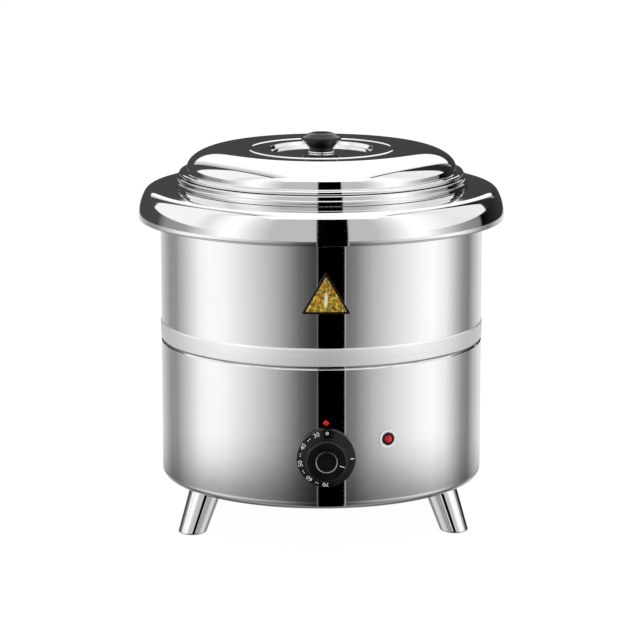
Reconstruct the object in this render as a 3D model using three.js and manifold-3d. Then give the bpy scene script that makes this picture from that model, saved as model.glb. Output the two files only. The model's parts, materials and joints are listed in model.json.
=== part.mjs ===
// Electric soup kettle: a mirror-polished drum on three splayed legs, a wide rolled collar,
// a stepped neck and a hinged domed lid, round a lift-out soup pot that hangs in a heated well.
// Millimetres, +Z up, the floor at z = 0 under the drum's axis, the controls facing -Y.
import * as THREE from "three";
import Module from "manifold-3d";
import { mergeVertices } from "three/addons/utils/BufferGeometryUtils.js";

// ---- driving dimensions ----
const GAP = 0.3; // between neighbours that touch
const SHEET = 1.2; // pressed stainless sheet
const ROUND = 36; // facets of the large turned parts

const DRUM_R = 159.5;
const DRUM_WALL = 1.5;
const DRUM_Z = 44; // underside of the drum
const DRUM_TOP = 326;
const DRUM_CORNER = 8;
const FLANGE_R = 100; // inner edge of the drum's turned-in bottom
// A satin band stands proud of the drum, with a groove along its foot and a ramp along its top.
const BAND = { z: [181.2, 202.4], proud: 0.7, lip: 0.35, ramp: 1.6 };
const GROOVE = { wide: 4.2, deep: 1.3 };

const LEG_COUNT = 3;
const LEG_TOP_R = 16.5;
const LEG_FOOT_R = 14;
const LEG_AT = 133; // leg's top from the drum's axis
const LEG_SPLAY = 16.5; // how much further out the foot stands
const PAD_R = 11;
const PAD_PROUD = 1;

const WELL_R = 148;
const WELL_Z = 128;
const POT_R = 134;
const POT_Z = 146;
const POT_CORNER = 16;
const POT_FLANGE_R = 156;
const FLANGE_Z = DRUM_TOP + GAP + SHEET + GAP; // underside of the pot's flange

const COLLAR_R = 181;
const COLLAR_Z = 304; // lower edge of the collar's skirt
const COLLAR_TOP = 336;
const COLLAR_ROLL = { r: 10, from: 28, to: 85, edge: [174.5, 329] }; // the turn from skirt to top
const NECK = { inner: 138, low: 145, high: 143.2, step: 341.2, top: 345.7 };

const LID_RIM_R = 140.6;
const LID_RIM_Z = [346, 350];
const LID_WALL_R = 133.4;
const LID_SKIRT_Z = 339;
const LID_SHOULDER = { wide: 40, tall: 20 };
const LID_TOP = 372.5;
const BEAD = { r: 71, z: 371.4, half: 0.8, rise: 0.6 }; // fine ring round the lid's middle
const DISH = { r: 50.5, z: 367.5 }; // shallow recess under the knob
const KNOB_R = 20;
const KNOB_TOP = 387;

const HINGE = { y: 150.5, z: 351, r: 4, pin: 1.9 };
const LEAF_HALF = 11.7;
const EAR = [12.3, 17];

const DIAL = { z: 96.5, r: 28.6, grip: 20, back: 161.2, front: 179 };
const LAMP = { z: 111.8, turn: 21.9 };
const BADGE = { z: 249.4, side: 46.8, border: 1.9 };
const MARK = { z: 130, reach: 3.3 }; // red diamond above the dial
const GLAND_Z = 70;

const TURN = Math.PI / 180;

// ---- materials ----
const finish = (color, roughness, metalness) =>
  new THREE.MeshStandardMaterial({ color, roughness, metalness });
const MIRROR = finish(0xd9dadb, 0.08, 1);
const SATIN = finish(0xc4c5c7, 0.35, 1);
const CHROME = finish(0xe2e3e5, 0.05, 1);
const ALUMINIUM = finish(0xb9bcc0, 0.45, 1);
const BRASS = finish(0xb8924a, 0.35, 1);
const BLACK = finish(0x111112, 0.25, 0);
const RUBBER = finish(0x1b1b1c, 0.85, 0);
const RED = finish(0xc01414, 0.2, 0);
const GOLD = finish(0xc9a13a, 0.3, 0.8);
const WOOL = finish(0xd8d3c4, 0.95, 0);
const CERAMIC = finish(0xe9e4d8, 0.6, 0);
const NYLON = finish(0xeeeeec, 0.4, 0);

// ---- shape helpers ----
const wasm = await Module();
wasm.setup();

function arc(centre, radii, from, to, steps) {
  const points = [];
  for (let i = 0; i <= steps; i++) {
    const a = (from + ((to - from) * i) / steps) * TURN;
    points.push([centre[0] + radii[0] * Math.cos(a), centre[1] + radii[1] * Math.sin(a)]);
  }
  return points;
}

// A solid of revolution about Z. The outline runs anticlockwise in (radius, height).
function turned(outline, facets = ROUND) {
  const closed = outline[0][0] > 0 ? [...outline, outline[0]] : outline;
  const points = closed.map(([r, z]) => new THREE.Vector2(r, z));
  return new THREE.LatheGeometry(points, facets).rotateX(Math.PI / 2);
}

const rod = (r, z0, z1, facets = 12) =>
  turned([[0, z0], [r, z0], [r, z1], [0, z1]], facets);

function ring(inner, outer, z0, z1, facets = ROUND) {
  return turned([[inner, z0], [outer, z0], [outer, z1], [inner, z1]], facets);
}

function box(x, y, z) {
  const size = [x, y, z].map(([low, high]) => high - low);
  const mid = [x, y, z].map(([low, high]) => (low + high) / 2);
  return new THREE.BoxGeometry(...size).translate(...mid);
}

function tube(points, r, steps, sides = 8) {
  const section = new THREE.Shape(arc([0, 0], [r, r], 0, 360, sides).slice(0, -1)
    .map(([x, y]) => new THREE.Vector2(x, y)));
  const path = new THREE.CatmullRomCurve3(points.map((p) => new THREE.Vector3(...p)), false,
    "centripetal");
  return new THREE.ExtrudeGeometry(section, { steps, bevelEnabled: false, extrudePath: path });
}

// Turns a shape made along +Z so that it points out of the drum's front, along -Y.
const facing = (geometry) => geometry.rotateX(Math.PI / 2);

function solid(geometry) {
  const bare = geometry.clone();
  bare.deleteAttribute("normal");
  bare.deleteAttribute("uv");
  const merged = mergeVertices(bare, 1e-3);
  return new wasm.Manifold(new wasm.Mesh({
    numProp: 3,
    vertProperties: merged.attributes.position.array,
    triVerts: new Uint32Array(merged.index.array),
  }));
}

function geometryOf(made) {
  const { vertProperties, triVerts } = made.getMesh();
  const geometry = new THREE.BufferGeometry();
  geometry.setAttribute("position", new THREE.BufferAttribute(vertProperties, 3));
  geometry.setIndex(new THREE.BufferAttribute(triVerts, 1));
  geometry.computeVertexNormals();
  return geometry;
}

const cut = (from, ...tools) =>
  geometryOf(tools.reduce((left, tool) => left.subtract(solid(tool)), solid(from)));
const join = (first, ...more) =>
  geometryOf(more.reduce((whole, piece) => whole.add(solid(piece)), solid(first)));
const common = (a, b) => geometryOf(solid(a).intersect(solid(b)));

const bodies = new Map();

function add(body, name, geometry, material) {
  if (!bodies.has(body)) bodies.set(body, new THREE.Group());
  const mesh = new THREE.Mesh(geometry, material);
  mesh.name = name;
  bodies.get(body).add(mesh);
  return mesh;
}

// The legs stand at 60 degrees either side of the front, and one at the back.
const legAngle = (i) => (i * 360) / LEG_COUNT + 90;

function polar(r, degrees) {
  return [r * Math.cos(degrees * TURN), r * Math.sin(degrees * TURN)];
}

const holeAt = (r, x, y, z0, z1) => rod(r, z0, z1).translate(x, y, 0);

// ---- drum, base plate and legs ----
const BOLT_R = 3;
const BASE_SCREW = { r: 2, at: 107, turn: 30 };
const EARTH = [50, 113.5];

function drumShell() {
  const outer = DRUM_R;
  const inner = DRUM_R - DRUM_WALL;
  const corner = [outer - DRUM_CORNER, DRUM_Z + DRUM_CORNER];
  const { wide, deep } = GROOVE;
  const { z: [low, high], proud, lip, ramp } = BAND;
  const band = (r) => [
    [r, low], [r - deep, low + wide * 0.4], [r + lip, low + wide], [r + proud, low + wide + 8],
    [r + proud, high - ramp], [r, high],
  ];
  const innerCorner = DRUM_CORNER - DRUM_WALL;
  return turned([
    [FLANGE_R, DRUM_Z],
    ...arc(corner, [DRUM_CORNER, DRUM_CORNER], -90, 0, 3),
    ...band(outer),
    [outer, DRUM_TOP], [inner, DRUM_TOP],
    ...band(inner).reverse(),
    ...arc(corner, [innerCorner, innerCorner], 0, -90, 2),
    [FLANGE_R, DRUM_Z + DRUM_WALL],
  ]);
}

function drumHoles() {
  const through = [150, 165];
  const front = (r, x, z) => facing(rod(r, ...through)).translate(x, 0, z);
  const holes = [
    front(5, 0, DIAL.z),
    ...THERMOSTAT_SCREWS.map((x) => front(2.1, x, DIAL.z)),
    front(5.2, 0, LAMP.z).rotateZ(LAMP.turn * TURN),
    facing(rod(8.6, ...through)).translate(0, 0, GLAND_Z).rotateZ(Math.PI),
    holeAt(2.8, ...EARTH, 40, 50),
  ];
  for (let i = 0; i < LEG_COUNT; i++) {
    holes.push(holeAt(BOLT_R + GAP, ...polar(LEG_AT, legAngle(i)), 40, 50));
    const screw = polar(BASE_SCREW.at, legAngle(i) + BASE_SCREW.turn);
    holes.push(holeAt(BASE_SCREW.r + GAP, ...screw, 40, 50));
  }
  return holes;
}

function basePlate() {
  const plate = rod(113.5, DRUM_Z - GAP - SHEET, DRUM_Z - GAP, 36);
  const tools = [];
  for (let i = 0; i < 6; i++) {
    tools.push(box([45, 75], [-2, 2], [40, 46]).rotateZ(i * 60 * TURN));
  }
  for (let i = 0; i < LEG_COUNT; i++) {
    const screw = polar(BASE_SCREW.at, legAngle(i) + BASE_SCREW.turn);
    tools.push(holeAt(BASE_SCREW.r + GAP, ...screw, 40, 46));
  }
  return cut(plate, ...tools);
}

const hexBolt = (r, shank, headR, head) => join(rod(r, ...shank), rod(headR, ...head, 6));

function addLeg(i) {
  const low = PAD_PROUD;
  const high = DRUM_Z - GAP;
  const cone = new THREE.CylinderGeometry(LEG_TOP_R, LEG_FOOT_R, high - low, 20)
    .rotateX(Math.PI / 2).translate(0, 0, (high + low) / 2);
  const lean = -LEG_SPLAY / (high - low);
  const splay = new THREE.Matrix4().set(
    1, 0, lean, -lean * high,
    0, 1, 0, 0,
    0, 0, 1, 0,
    0, 0, 0, 1,
  );
  const pocket = 4;
  const shaped = cut(cone.applyMatrix4(splay),
    rod(BOLT_R + GAP, high - 18, high + 1),
    rod(PAD_R + GAP, low - 1, low + pocket, 20).translate(LEG_SPLAY, 0, 0));
  const [x, y] = polar(LEG_AT, legAngle(i));
  const place = (g) => g.rotateZ(legAngle(i) * TURN).translate(x, y, 0);
  add("base", `leg_${i + 1}`, place(shaped), CHROME);
  const pad = rod(PAD_R, 0, low + pocket - GAP, 20).translate(LEG_SPLAY, 0, 0);
  add("base", `foot_pad_${i + 1}`, place(pad), RUBBER);
  const seat = DRUM_Z + DRUM_WALL + GAP;
  const bolt = hexBolt(BOLT_R, [high - 16, seat + 1], 5.5, [seat, seat + 4]);
  add("base", `leg_bolt_${i + 1}`, place(bolt), SATIN);
}

function addBaseScrew(i) {
  const [x, y] = polar(BASE_SCREW.at, legAngle(i) + BASE_SCREW.turn);
  const under = DRUM_Z - GAP - SHEET - GAP;
  const screw = turned([
    [0, under - 1.8], [2.6, under - 1.8], [3.8, under], [BASE_SCREW.r, under],
    [BASE_SCREW.r, under + 7], [0, under + 7],
  ], 16);
  add("base", `base_screw_${i + 1}`, screw.translate(x, y, 0), SATIN);
}

// ---- well, insulation and heater ----
function vessel(r, bottom, rimZ, flangeR, corner, steps) {
  const centre = [r - corner, bottom + corner];
  const inner = corner - SHEET;
  return turned([
    [0, bottom],
    ...arc(centre, [corner, corner], -90, 0, steps),
    [r, rimZ], [flangeR, rimZ], [flangeR, rimZ + SHEET], [r - SHEET, rimZ + SHEET],
    ...arc(centre, [inner, inner], 0, -90, steps),
    [0, bottom + SHEET],
  ]);
}

const PLATE_Z = [WELL_Z - GAP - 2, WELL_Z - GAP];
const ELEMENT = { r: 95, tube: 4, z: PLATE_Z[0] - 3 * GAP - 4, end: 100, mouth: 7.5 };
const CLAMP_TOP = ELEMENT.z - ELEMENT.tube - GAP;
const THERMOSTAT_SCREWS = [-11, 11];

function heatingElement() {
  const points = [];
  const mouth = ELEMENT.mouth;
  const drop = [
    [0, ELEMENT.end], [0, ELEMENT.end + 8], [0.5, ELEMENT.z - 5], [2.5, ELEMENT.z - 1.2],
  ];
  const end = (side) => drop.map(([a, z]) => [...polar(ELEMENT.r, 90 + side * (mouth + a)), z]);
  points.push(...end(1));
  const first = mouth + 6;
  const steps = 22;
  for (let i = 0; i <= steps; i++) {
    points.push([...polar(ELEMENT.r, 90 + first + (i * (360 - 2 * first)) / steps), ELEMENT.z]);
  }
  points.push(...end(-1).reverse());
  return tube(points, ELEMENT.tube, 42);
}

function addHeater() {
  add("base", "element_plate", join(rod(115, ...PLATE_Z, 36),
    rod(3, CLAMP_TOP - 12, PLATE_Z[0] + 0.5)), ALUMINIUM);
  add("base", "heating_element", heatingElement(), SATIN);
  const bar = box([-104, 104], [-12, 12], [CLAMP_TOP - 2, CLAMP_TOP]);
  add("base", "element_clamp", cut(bar, rod(3 + GAP, 100, 125)), SATIN);
  const nutTop = CLAMP_TOP - 2 - GAP;
  add("base", "clamp_nut", cut(rod(5.8, nutTop - 5, nutTop, 6), rod(3 + GAP, 90, 125)), BRASS);
  const under = PLATE_Z[0] - GAP;
  const cutout = join(rod(8, under - 5, under, 20), rod(5.5, under - 9, under - 4.5, 20));
  add("base", "thermal_cutout", cutout.translate(-52, 34, 0), BLACK);
}

// ---- controls ----
function addThermostat() {
  const front = 155;
  const casing = box([-19, 19], [-front, -120], [DIAL.z - 17, DIAL.z + 17]);
  const bores = THERMOSTAT_SCREWS.map((x) => facing(rod(2.1, 145, 160)).translate(x, 0, DIAL.z));
  const shaftBore = facing(rod(3 + GAP, 147, 160)).translate(0, 0, DIAL.z);
  add("base", "thermostat_body", cut(casing, shaftBore, ...bores), BLACK);
  THERMOSTAT_SCREWS.forEach((x, i) => {
    const under = DRUM_R + 0.7;
    const screw = turned([
      [0, 146], [1.8, 146], [1.8, under], [3.6, under], [2.8, under + 1.8], [0, under + 1.8],
    ], 16);
    add("base", `thermostat_screw_${i + 1}`, facing(screw).translate(x, 0, DIAL.z), SATIN);
  });
  const bulb = rod(3, -30, 30).rotateY(Math.PI / 2).translate(0, -60, PLATE_Z[0] - GAP - 3.2);
  add("base", "sensing_bulb", bulb, BRASS);
  const bulbZ = PLATE_Z[0] - GAP - 3.2;
  const capillary = [
    [8, -119.6, 104], [8, -108, 102], [15, -95, 104], [28, -80, 109], [37, -68, 116],
    [38, -61.5, bulbZ - 1], [34, -60, bulbZ], [30.4, -60, bulbZ],
  ];
  add("base", "capillary_tube", tube(capillary, 1, 20, 5), BRASS);
}

function dialBody() {
  const { r, grip, back, front } = DIAL;
  const recess = front - 1.6;
  const bore = 3.3;
  return facing(turned([
    [bore, back + 0.4], [6, back + 0.4], [6, 165], [20, 165], [26, 163.2], [r - 1.2, back], [r, back],
    [r - 0.6, 164.6], [grip + 1.4, 167], [grip, 167.5], [grip, front - 1.4], [grip - 1.6, front],
    [11.6, front], [11.6, recess], [0, recess], [0, front - 5], [bore, front - 5],
  ], 20)).translate(0, 0, DIAL.z);
}

function addDial() {
  add("dial", "dial", dialBody(), BLACK);
  const cap = turned([
    [0, DIAL.front - 1.3], [11.2, DIAL.front - 1.3], [11.2, DIAL.front + 0.6], [9.8, DIAL.front + 1.4],
    [0, DIAL.front + 1.4],
  ], 20);
  add("dial", "dial_cap", facing(cap).translate(0, 0, DIAL.z), BLACK);
  const shaft = cut(rod(3, 148, DIAL.front - 5.5), box([-4, 4], [1.8, 4], [163, 180]));
  add("dial", "thermostat_shaft", facing(shaft).translate(0, 0, DIAL.z), SATIN);
}

function addLamp() {
  const place = (g) => facing(g).translate(0, 0, LAMP.z).rotateZ(LAMP.turn * TURN);
  add("base", "lamp_washer", place(ring(6.3, 8.8, DRUM_R + GAP, DRUM_R + 1.2, 20)), NYLON);
  const bezel = turned([
    [3, 149.7], [4.7, 149.7], [4.7, 161], [6, 161], [6, 161.9], [5.3, 162.4], [4.1, 162.4], [4.1, 159.5],
    [3, 159.5],
  ], 16);
  add("base", "lamp_bezel", place(bezel), BLACK);
  const lens = turned([[0, 159.8], [3.8, 159.8], ...arc([0, 161.6], [3.8, 1.4], 0, 90, 3)], 16);
  add("base", "lamp_lens", place(lens), RED);
  add("base", "lamp_body", place(rod(6.5, 127, 149.4, 16)), BLACK);
}

// A regular shape with rounded corners, the first of them at an angle from +X.
function roundedShape(count, reach, corner, first) {
  const centreR = reach - corner / Math.cos(Math.PI / count);
  const points = [];
  for (let i = 0; i < count; i++) {
    const a = first + (i * 360) / count;
    points.push(...arc(polar(centreR, a), [corner, corner], a - 180 / count, a + 180 / count, 4));
  }
  return new THREE.Shape(points.map(([x, y]) => new THREE.Vector2(x, y)));
}

const triangle = (side, corner) => roundedShape(3, side / Math.sqrt(3), corner, 90);

function prism(shape, near, far) {
  const bar = new THREE.ExtrudeGeometry(shape, { depth: far - near, bevelEnabled: false });
  return facing(bar.translate(0, 0, near));
}

// The badge is bent to the drum: a triangle cut out of a thin sleeve round it.
function addBadge() {
  const sleeve = ring(DRUM_R + GAP, DRUM_R + 1.2, BADGE.z - 40, BADGE.z + 40, 120);
  const inner = BADGE.side - BADGE.border * 2 * Math.sqrt(3);
  const across = (shape) => prism(shape, 120, 180).translate(0, 0, BADGE.z);
  const outline = across(triangle(BADGE.side, 0.9));
  const opening = across(triangle(inner, 0.6));
  const face = across(triangle(inner - GAP * 4, 0.5));
  add("base", "badge_frame", cut(common(sleeve, outline), opening), BLACK);
  add("base", "badge_face", common(sleeve, face), GOLD);
  const mark = prism(roundedShape(4, MARK.reach, 1, 90), DRUM_R + GAP, DRUM_R + 0.9);
  add("base", "index_mark", mark.translate(0, 0, MARK.z), RED);
}

// ---- wiring and mains inlet ----
function addInlet() {
  const place = (g) => facing(g).translate(0, 0, GLAND_Z).rotateZ(Math.PI);
  const gland = turned([
    [4.6, 146], [8.2, 146], [8.2, 160], [11.5, 160], [11.5, 167], [9, 168], [8, 179], [4.6, 179],
  ], 20);
  add("base", "cable_gland", place(gland), BLACK);
  add("base", "gland_nut", place(cut(rod(12.5, 150, 155.5, 6), rod(8.5, 140, 160, 20))), BLACK);
  add("base", "gland_seal", place(rod(4.3, 150, 177, 16)), RUBBER);
  const floor = DRUM_Z + DRUM_WALL + GAP;
  const block = box([-22, 22], [106, 124], [floor, floor + 12]);
  const crown = box([-20, 20], [110, 120], [floor + 11, floor + 17]);
  add("base", "terminal_block", join(block, crown), CERAMIC);
  const stud = hexBolt(2.5, [DRUM_Z - 2, 57], 4.6, [DRUM_Z - 3.3, DRUM_Z - GAP]);
  add("base", "earth_stud", stud.translate(...EARTH, 0), BRASS);
}

function addWiring() {
  const top = DRUM_Z + DRUM_WALL + GAP + 17 + GAP;
  const ends = [1, -1].map((side) => polar(ELEMENT.r, 90 + side * ELEMENT.mouth));
  const live = [
    [14, 115, top], [15, 114, top + 5], [20, 105, top + 10], [30, 60, top + 12], [26, -40, top + 14],
    [14, -90, 84], [10, -112, 90], [10, -119.6, 91],
  ];
  const heat = [
    [-10, -119.6, 91], [-10, -112, 90], [-24, -80, 86], [-34, -20, 84], [-32, 50, 84], [-20, 84, 86],
    [ends[0][0] - 1, ends[0][1] - 2, 91], [...ends[0], 96], [...ends[0], ELEMENT.end - GAP - 0.3],
  ];
  const neutral = [
    [2, 115, top], [3, 114, top + 8], [8, 106, top + 18], [ends[1][0], ends[1][1] + 2, 90],
    [...ends[1], 95], [...ends[1], ELEMENT.end - GAP - 0.3],
  ];
  add("base", "wire_live", tube(live, 1.5, 20, 5), RED);
  add("base", "wire_heater", tube(heat, 1.5, 22, 5), WOOL);
  add("base", "wire_neutral", tube(neutral, 1.5, 14, 5), BLACK);
}

// ---- collar, neck and hinge bracket ----
const COLLAR_SEAT = NECK.low + 2; // the collar's top is level this far out, then falls a little

function collarRing() {
  const { r, from, to, edge } = COLLAR_ROLL;
  const centre = [edge[0] - r * Math.cos(from * TURN), edge[1] - r * Math.sin(from * TURN)];
  const inside = r - SHEET;
  const lip = 4;
  const hem = NECK.inner;
  const foot = FLANGE_Z + SHEET + GAP;
  const belly = [COLLAR_R - 1.4, COLLAR_Z + 14];
  return turned([
    [hem, foot], [hem + SHEET, foot], [hem + SHEET, COLLAR_TOP - SHEET], [COLLAR_SEAT, COLLAR_TOP - SHEET],
    ...arc(centre, [inside, inside], to, from, 3),
    [belly[0] - SHEET, belly[1]], [COLLAR_R - SHEET, COLLAR_Z + SHEET],
    [COLLAR_R - lip, COLLAR_Z + SHEET], [COLLAR_R - lip, COLLAR_Z],
    [COLLAR_R - 0.8, COLLAR_Z], [COLLAR_R, COLLAR_Z + 0.8], [COLLAR_R, COLLAR_Z + 6], belly,
    ...arc(centre, [r, r], from, to, 5),
    [COLLAR_SEAT, COLLAR_TOP], [hem, COLLAR_TOP],
  ]);
}

function neckRing() {
  const { inner, low, high, step, top } = NECK;
  const foot = COLLAR_TOP + GAP;
  return turned([
    [inner, foot], [low, foot], [low, step - 0.8], [low - 0.8, step], [high, step], [high, top - 0.8],
    [high - 0.8, top], [inner, top],
  ]);
}

// The bracket's plate lies along the collar's fall.
const BRACKET = { y: [148.5, 166], foot: COLLAR_TOP + GAP, fall: 1.5, thick: 1.6, rivetX: 7, rivetY: 156 };

// A flat shape in (y, z), drawn out along X.
function slab(corners, x0, x1) {
  const shape = new THREE.Shape(corners.map(([y, z]) => new THREE.Vector2(y, z)));
  const bar = new THREE.ExtrudeGeometry(shape, { depth: x1 - x0, bevelEnabled: false });
  const place = new THREE.Matrix4().set(0, 0, 1, x0, 1, 0, 0, 0, 0, 1, 0, 0, 0, 0, 0, 1);
  return bar.applyMatrix4(place);
}

const alongX = (r, x0, x1, facets) => rod(r, x0, x1, facets).rotateY(Math.PI / 2);
const atHinge = (g) => g.translate(0, HINGE.y, HINGE.z);

function hingeBracket() {
  const { y, foot, fall, thick } = BRACKET;
  const side = [[y[0], foot], [y[1], foot - fall], [y[1], foot - fall + thick], [y[0], foot + thick]];
  const pieces = [slab(side, -EAR[1], EAR[1])];
  for (const side of [-1, 1]) {
    const x = EAR.map((e) => e * side).sort((a, b) => a - b);
    pieces.push(atHinge(alongX(HINGE.r, ...x, 16)));
    pieces.push(box(x, [y[0], HINGE.y + HINGE.r - 0.1], [foot, HINGE.z]));
  }
  const bores = [
    atHinge(alongX(HINGE.pin + GAP, -25, 25, 16)),
    ...[-1, 1].map((side) => holeAt(1.8, side * BRACKET.rivetX, BRACKET.rivetY, 330, 345)),
  ];
  return cut(join(...pieces), ...bores);
}

function rivet(r, head, tip, under) {
  const top = under + 1;
  return turned([[0, tip], [r, tip], [r, under], [head, under], [head * 0.6, top], [0, top]], 12);
}

function addCollar() {
  const sites = [-1, 1].map((side) => [side * BRACKET.rivetX, BRACKET.rivetY]);
  const holes = sites.map(([x, y]) => holeAt(1.8, x, y, 330, 340));
  add("lid_ring", "collar", cut(collarRing(), ...holes), MIRROR);
  add("lid_ring", "neck_ring", neckRing(), MIRROR);
  add("lid_ring", "hinge_bracket", hingeBracket(), SATIN);
  add("lid_ring", "hinge_pin", atHinge(alongX(HINGE.pin, -EAR[1] - 1.5, EAR[1] + 1.5, 16)), SATIN);
  sites.forEach(([x, y], i) => {
    const under = BRACKET.foot + BRACKET.thick + GAP;
    add("lid_ring", `bracket_rivet_${i + 1}`, rivet(1.5, 3, 333, under).translate(x, y, 0), SATIN);
  });
}

// ---- lid ----
const LEAF = { z: [LID_RIM_Z[1] + GAP, LID_RIM_Z[1] + GAP + 1.6], y: 135.2, rivetX: 6, rivetY: 137.6 };

function lidDome() {
  const shoulder = [LID_WALL_R - LID_SHOULDER.wide, LID_TOP - LID_SHOULDER.tall];
  const inside = [LID_SHOULDER.wide - SHEET, LID_SHOULDER.tall - SHEET];
  const [rimLow, rimHigh] = LID_RIM_Z;
  const wall = LID_WALL_R;
  const chamfer = 0.8;
  const { r, z, half, rise } = BEAD;
  const step = DISH.r + 1.5;
  return turned([
    [wall - SHEET, LID_SKIRT_Z], [wall, LID_SKIRT_Z], [wall, rimLow],
    [LID_RIM_R - chamfer, rimLow], [LID_RIM_R, rimLow + chamfer], [LID_RIM_R, rimHigh - chamfer],
    [LID_RIM_R - chamfer, rimHigh], [wall + chamfer, rimHigh], [wall, rimHigh + chamfer],
    ...arc(shoulder, [LID_SHOULDER.wide, LID_SHOULDER.tall], 0, 90, 7),
    [r + 2 * half, z], [r + half, z + rise], [r - half, z + rise], [r - 2 * half, z],
    [step, z], [DISH.r, DISH.z], [KNOB_BORE, DISH.z], [KNOB_BORE, DISH.z - SHEET],
    [DISH.r + 0.8, DISH.z - SHEET], [step + 0.8, z - SHEET], [r, z - SHEET], [shoulder[0], LID_TOP - SHEET],
    ...arc(shoulder, inside, 72, 0, 4),
  ]);
}

const KNOB_BORE = 3.4;
const FERRULE = { r: 13, thick: 1.4 };

function addKnob() {
  const seat = DISH.z + GAP;
  const foot = seat + FERRULE.thick + GAP;
  const neck = KNOB_R - 8.4;
  const widest = KNOB_TOP - 6.7;
  const socket = foot + 11;
  add("lid", "knob_ferrule", ring(KNOB_BORE, FERRULE.r, seat, seat + FERRULE.thick, 20), CHROME);
  add("lid", "lid_knob", turned([
    [2.2, foot], [neck + 0.6, foot], [neck, foot + 1.5], [KNOB_R - 1.5, widest - 1.3],
    ...arc([KNOB_R - 2.4, widest], [2.4, 2.4], -20, 70, 2),
    [KNOB_R - 8, KNOB_TOP - 0.6], [KNOB_R - 10, KNOB_TOP], [0, KNOB_TOP], [0, socket], [2.2, socket],
  ], 32), BLACK);
  const under = DISH.z - SHEET - GAP;
  add("lid", "knob_screw", turned([
    [0, under - 4.4], [3.6, under - 4.4], [4.4, under - 3.4], [4.4, under - 1.8], [1.9, under - 1.8],
    [1.9, socket - 0.5], [0, socket - 0.5],
  ], 16), SATIN);
  add("lid", "knob_washer", ring(2.3, 8, under - 1.5, under, 20), SATIN);
}

function hingeLeaf() {
  const plate = box([-LEAF_HALF, LEAF_HALF], [LEAF.y, HINGE.y], LEAF.z);
  const knuckle = atHinge(alongX(HINGE.r, -LEAF_HALF, LEAF_HALF, 16));
  const holes = [-1, 1].map((side) => holeAt(1.8, side * LEAF.rivetX, LEAF.rivetY, 340, 360));
  return cut(join(plate, knuckle), atHinge(alongX(HINGE.pin + GAP, -25, 25, 16)), ...holes);
}

function addLid() {
  const sites = [-1, 1].map((side) => [side * LEAF.rivetX, LEAF.rivetY]);
  const holes = sites.map(([x, y]) => holeAt(1.8, x, y, 344, 352));
  add("lid", "lid_dome", cut(lidDome(), ...holes), MIRROR);
  add("lid", "hinge_leaf", hingeLeaf(), SATIN);
  sites.forEach(([x, y], i) => {
    const body = rivet(1.5, 2.6, LID_RIM_Z[0] + 0.5, LEAF.z[1] + GAP);
    add("lid", `leaf_rivet_${i + 1}`, body.translate(x, y, 0), SATIN);
  });
  addKnob();
}

// ---- assembly ----
add("base", "outer_shell", cut(drumShell(), ...drumHoles()), MIRROR);
add("base", "base_plate", basePlate(), SATIN);
for (let i = 0; i < LEG_COUNT; i++) {
  addLeg(i);
  addBaseScrew(i);
}
add("base", "water_well", vessel(WELL_R, WELL_Z, DRUM_TOP + GAP, DRUM_R - 0.2, 6, 2), SATIN);
add("base", "insulation_wrap", ring(WELL_R + 0.9, DRUM_R - DRUM_WALL - 2.2, 130, 322), WOOL);
addHeater();
addThermostat();
addLamp();
addBadge();
addInlet();
addWiring();
add("pot", "soup_pot", vessel(POT_R, POT_Z, FLANGE_Z, POT_FLANGE_R, POT_CORNER, 4), SATIN);
addCollar();
addLid();
addDial();

const kettle = new THREE.Group();
kettle.add(...bodies.values());
export default kettle;
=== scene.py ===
"""Looks of the electric soup kettle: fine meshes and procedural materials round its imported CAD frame.

The shape functions work in millimetres and degrees; MM turns lengths into Blender's metres.
+Z is up, the floor is at z = 0 under the drum's axis, and the controls face -Y."""
import json
import math

import bmesh
import bpy
from mathutils import Matrix, Vector


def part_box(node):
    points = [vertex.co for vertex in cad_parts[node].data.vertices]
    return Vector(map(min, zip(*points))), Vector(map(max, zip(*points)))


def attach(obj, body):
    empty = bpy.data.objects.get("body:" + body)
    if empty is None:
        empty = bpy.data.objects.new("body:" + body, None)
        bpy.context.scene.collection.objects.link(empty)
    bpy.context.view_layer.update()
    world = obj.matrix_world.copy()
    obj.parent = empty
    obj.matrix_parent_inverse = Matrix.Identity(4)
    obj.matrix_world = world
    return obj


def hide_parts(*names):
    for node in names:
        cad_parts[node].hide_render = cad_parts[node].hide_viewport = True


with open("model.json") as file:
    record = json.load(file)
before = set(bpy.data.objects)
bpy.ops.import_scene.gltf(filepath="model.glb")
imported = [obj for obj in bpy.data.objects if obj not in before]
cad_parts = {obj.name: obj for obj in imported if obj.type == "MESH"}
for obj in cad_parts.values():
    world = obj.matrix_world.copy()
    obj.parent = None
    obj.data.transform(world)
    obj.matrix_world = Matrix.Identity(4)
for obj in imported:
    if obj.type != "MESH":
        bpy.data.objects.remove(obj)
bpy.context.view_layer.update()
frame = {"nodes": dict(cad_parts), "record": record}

MM = 0.001
SHEET = 1.2  # pressed stainless sheet
SMOOTH_ANGLE = 35  # a wider angle between two faces stays a crisp edge
FILLET_STEP = 12  # degrees between the points of a rounded corner
LONG_RUN = 10  # a straight run this many times its holding distance gets holding points
WELD = 1e-7  # metres


# ---- places and sizes from the frame ----
def box_mm(node):
    low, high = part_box(node)
    return low / MM, high / MM


def span(node):
    """Radius, lowest and highest z of a node turned about the kettle's axis."""
    low, high = box_mm(node)
    return (high.x - low.x) / 2, low.z, high.z


def front_span(node):
    """Radius, nearest and furthest distance from the axis, and height, of a node that faces -Y."""
    low, high = box_mm(node)
    return (high.x - low.x) / 2, -high.y, -low.y, (high.z + low.z) / 2


# ---- outlines ----
def arc(centre, radii, start, end, step=4):
    """Points of an elliptical arc in (radius, height), from one angle to another."""
    count = max(2, math.ceil(abs(end - start) / step))
    angles = [math.radians(start + (end - start) * i / count) for i in range(count + 1)]
    return [(centre[0] + radii[0] * math.cos(a), centre[1] + radii[1] * math.sin(a)) for a in angles]


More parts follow.
